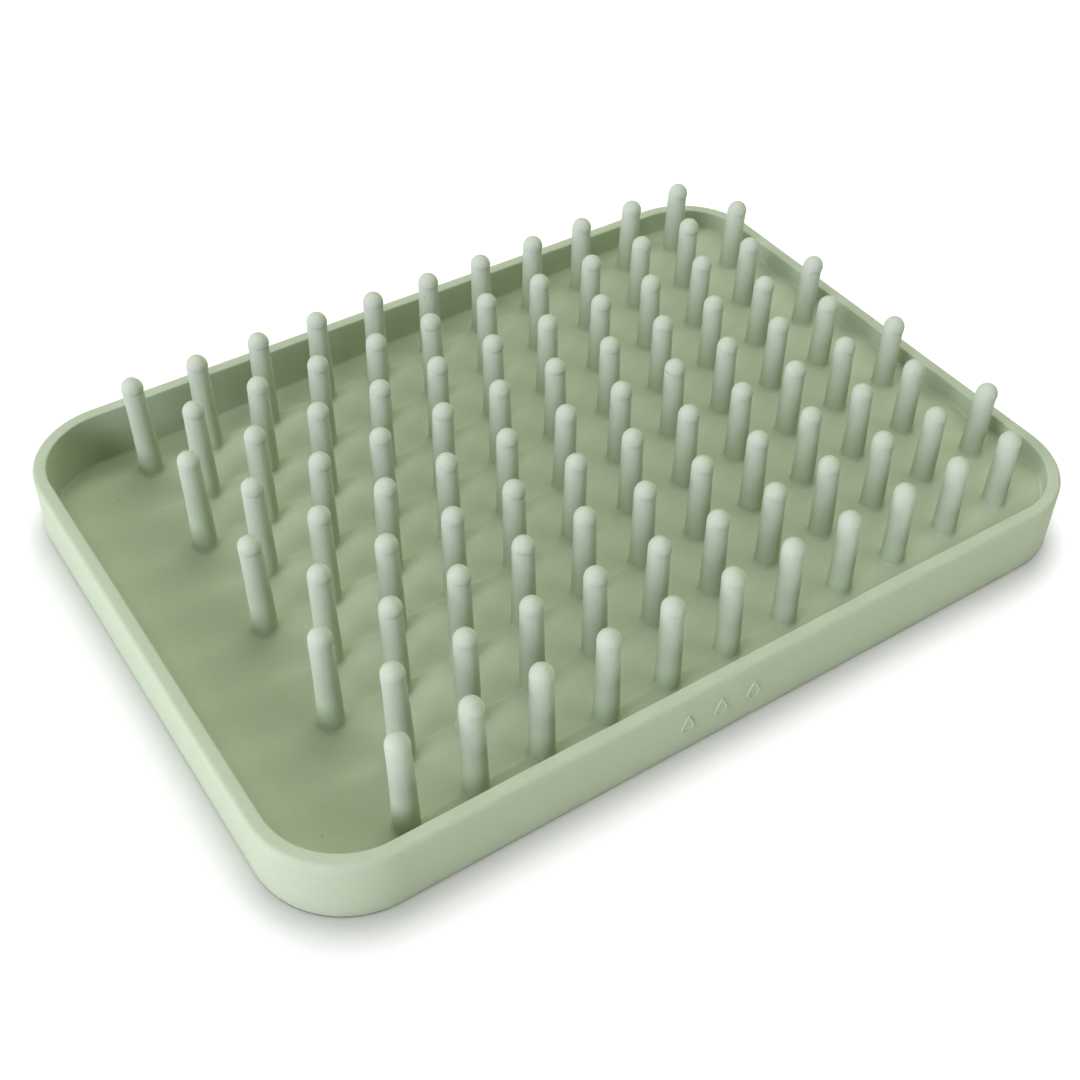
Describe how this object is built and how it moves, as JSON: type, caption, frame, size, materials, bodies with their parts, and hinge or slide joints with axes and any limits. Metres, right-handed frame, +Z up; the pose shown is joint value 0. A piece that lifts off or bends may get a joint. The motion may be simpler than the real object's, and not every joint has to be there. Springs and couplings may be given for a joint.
{
  "type": "bottle drying rack",
  "caption": "Soft one-piece silicone drying rack for baby bottles: a shallow rounded tray whose fluted floor slopes to a reservoir, with staggered rows of upright pegs.",
  "frame": {"origin": "middle of the tray's outline, on the surface it stands on", "axes": "+X along the tray towards the shallow end of its floor, +Y to the back, away from the wall that carries the drops, +Z up"},
  "size_m": [0.288, 0.2094, 0.0424],
  "materials": {
    "silicone": "matte sage green moulded silicone"
  },
  "bodies": {
    "root": {"reservoir_floor": "silicone", "draining_floor": "silicone", "front_wall": "silicone", "back_wall": "silicone", "left_wall": "silicone", "right_wall": "silicone", "back_right_corner": "silicone", "back_left_corner": "silicone", "front_left_corner": "silicone", "front_right_corner": "silicone", "peg_row_1": "silicone", "peg_row_2": "silicone", "peg_row_3": "silicone", "peg_row_4": "silicone", "peg_row_5": "silicone", "peg_row_6": "silicone", "peg_row_7": "silicone", "peg_row_8": "silicone", "peg_row_9": "silicone", "support_rib_1": "silicone", "support_rib_2": "silicone", "support_rib_3": "silicone", "support_rib_4": "silicone", "drop_emblem": "silicone"}
  },
  "joints": []
}
